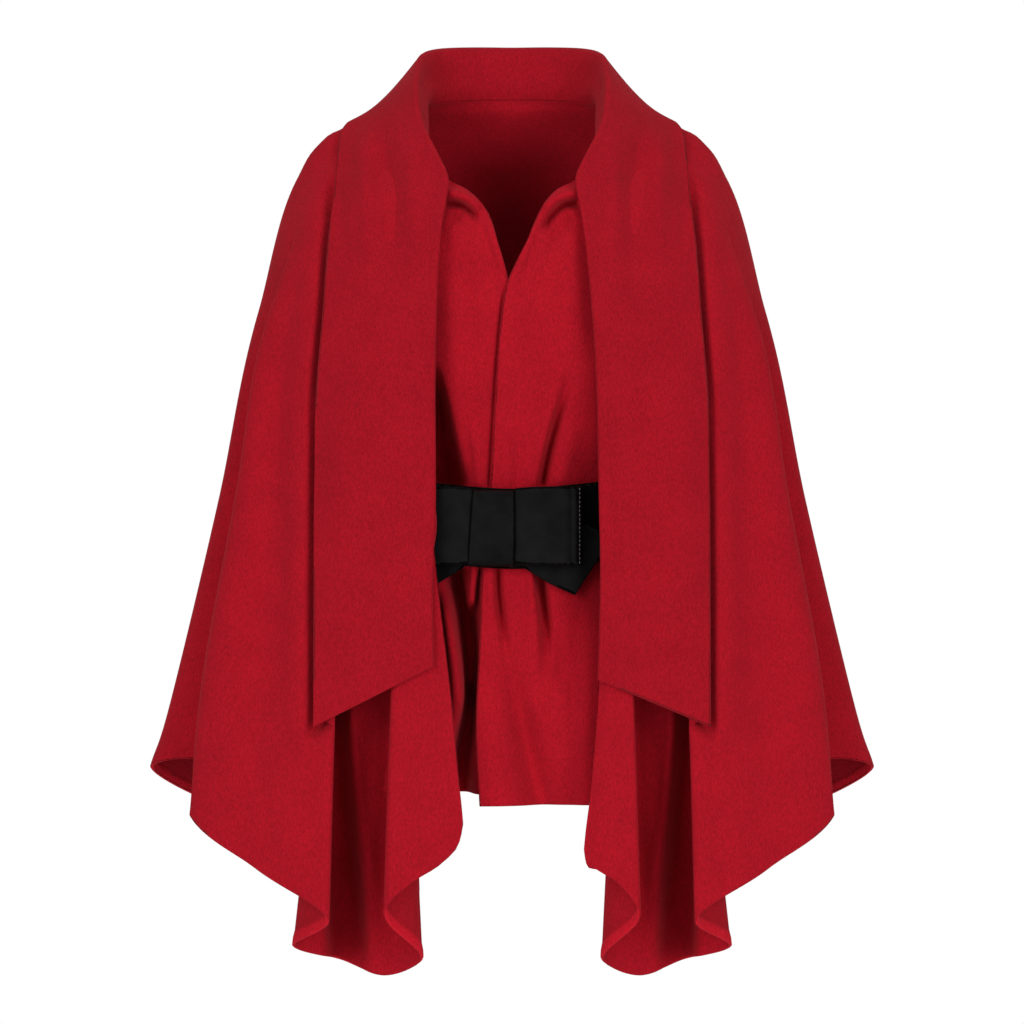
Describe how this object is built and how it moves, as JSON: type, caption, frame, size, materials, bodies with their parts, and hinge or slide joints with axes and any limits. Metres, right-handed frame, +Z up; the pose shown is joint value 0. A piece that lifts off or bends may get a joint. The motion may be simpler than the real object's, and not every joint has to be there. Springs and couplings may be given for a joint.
{
  "type": "belted wool cape",
  "caption": "Wool cape with a rolled shawl collar, draped fronts with deep box folds, waisted inner fronts and a black leather bow belt, held in its worn, hollow form",
  "frame": {"origin": "on the line of the wearer's shoulders, midway between the two points where the neck meets the shoulders", "axes": "+Z up, -Y to the front of the garment, +X to the viewer's right, which is the wearer's left"},
  "size_m": [0.7202, 0.3556, 0.9272],
  "materials": {
    "red_wool": "felted, soft nap",
    "black_leather": "satin, fine grain"
  },
  "bodies": {
    "root": {"front_right": "red_wool", "front_left": "red_wool", "back": "red_wool", "collar_and_lapels": "red_wool", "inner_front_right": "red_wool", "inner_front_left": "red_wool", "belt": "black_leather", "bow_loops": "black_leather", "bow_knot": "black_leather", "bow_tails": "black_leather"}
  },
  "joints": []
}
